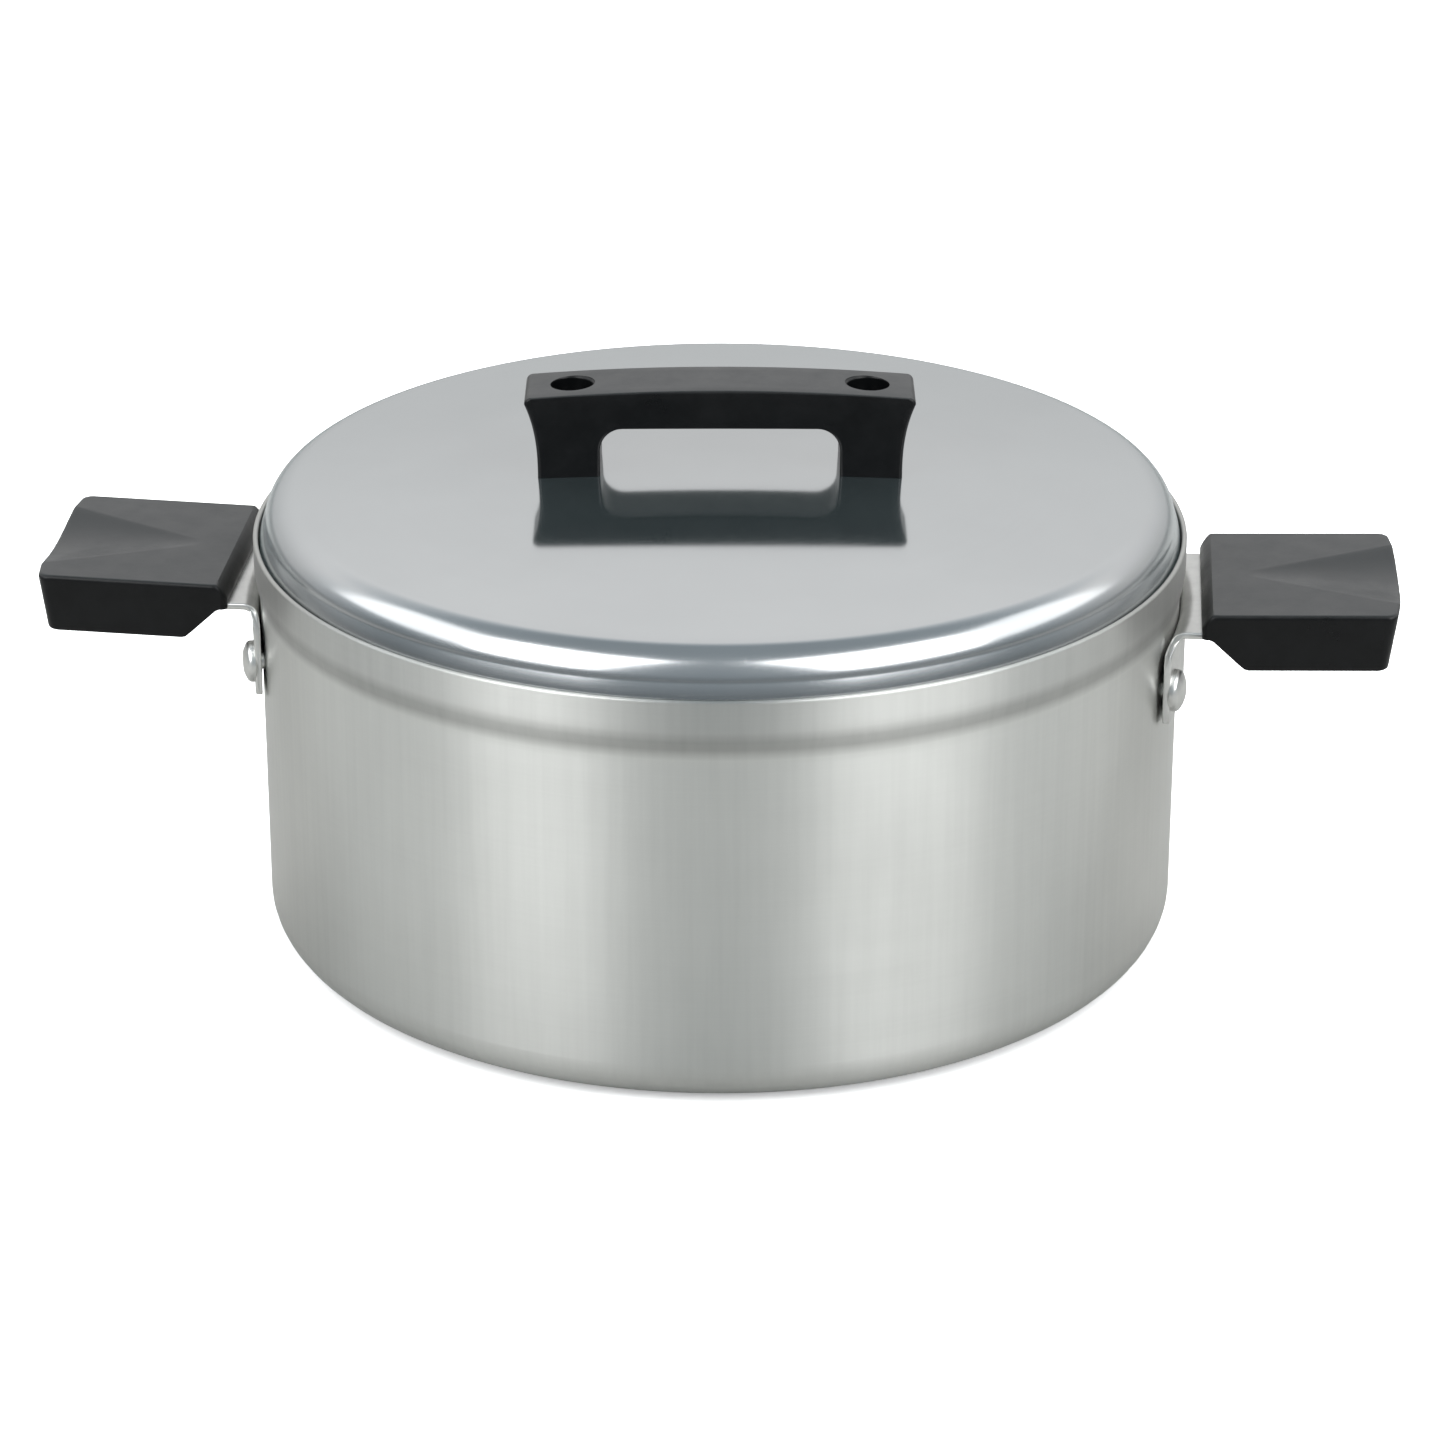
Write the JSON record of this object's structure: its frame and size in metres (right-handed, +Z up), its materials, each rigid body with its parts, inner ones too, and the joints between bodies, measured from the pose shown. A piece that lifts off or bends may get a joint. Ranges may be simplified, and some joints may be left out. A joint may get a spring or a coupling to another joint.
{
  "type": "two-handled casserole pot with lid",
  "caption": "Round straight-sided aluminium cooking pot with riveted black side grips and a loose domed lid, with a bridge handle, that sits inside the rim.",
  "frame": {"origin": "centre of the pot's flat base, on the surface it stands on", "axes": "+X along the two side grips, towards the right grip; +Z up, along the pot's axis"},
  "size_m": [0.3242, 0.2224, 0.1361],
  "materials": {
    "spun_aluminium": "satin, spun round the axis",
    "polished_aluminium": "polished, fine spun lines",
    "black_resin": "moulded, satin",
    "bracket_aluminium": "satin pressed sheet",
    "plated_steel": "zinc plated",
    "blackened_steel": "black oxide",
    "insert_brass": "turned"
  },
  "bodies": {
    "pot": {"pot_shell": "spun_aluminium", "handle_bracket_left": "bracket_aluminium", "bracket_rivet_left_front": "bracket_aluminium", "bracket_rivet_left_rear": "bracket_aluminium", "side_grip_left": "black_resin", "grip_screw_left": "plated_steel", "grip_insert_left": "insert_brass", "handle_bracket_right": "bracket_aluminium", "bracket_rivet_right_front": "bracket_aluminium", "bracket_rivet_right_rear": "bracket_aluminium", "side_grip_right": "black_resin", "grip_screw_right": "plated_steel", "grip_insert_right": "insert_brass"},
    "lid": {"lid_shell": "polished_aluminium", "lid_handle": "black_resin", "lid_handle_screw_left": "blackened_steel", "lid_handle_washer_left": "plated_steel", "lid_handle_nut_left": "plated_steel", "lid_handle_screw_right": "blackened_steel", "lid_handle_washer_right": "plated_steel", "lid_handle_nut_right": "plated_steel"}
  },
  "joints": [
    {"name": "lid_lift", "type": "slide", "parent": "pot", "child": "lid", "axis": [0, 0, 1], "range_m": [0, 0.15]}
  ]
}
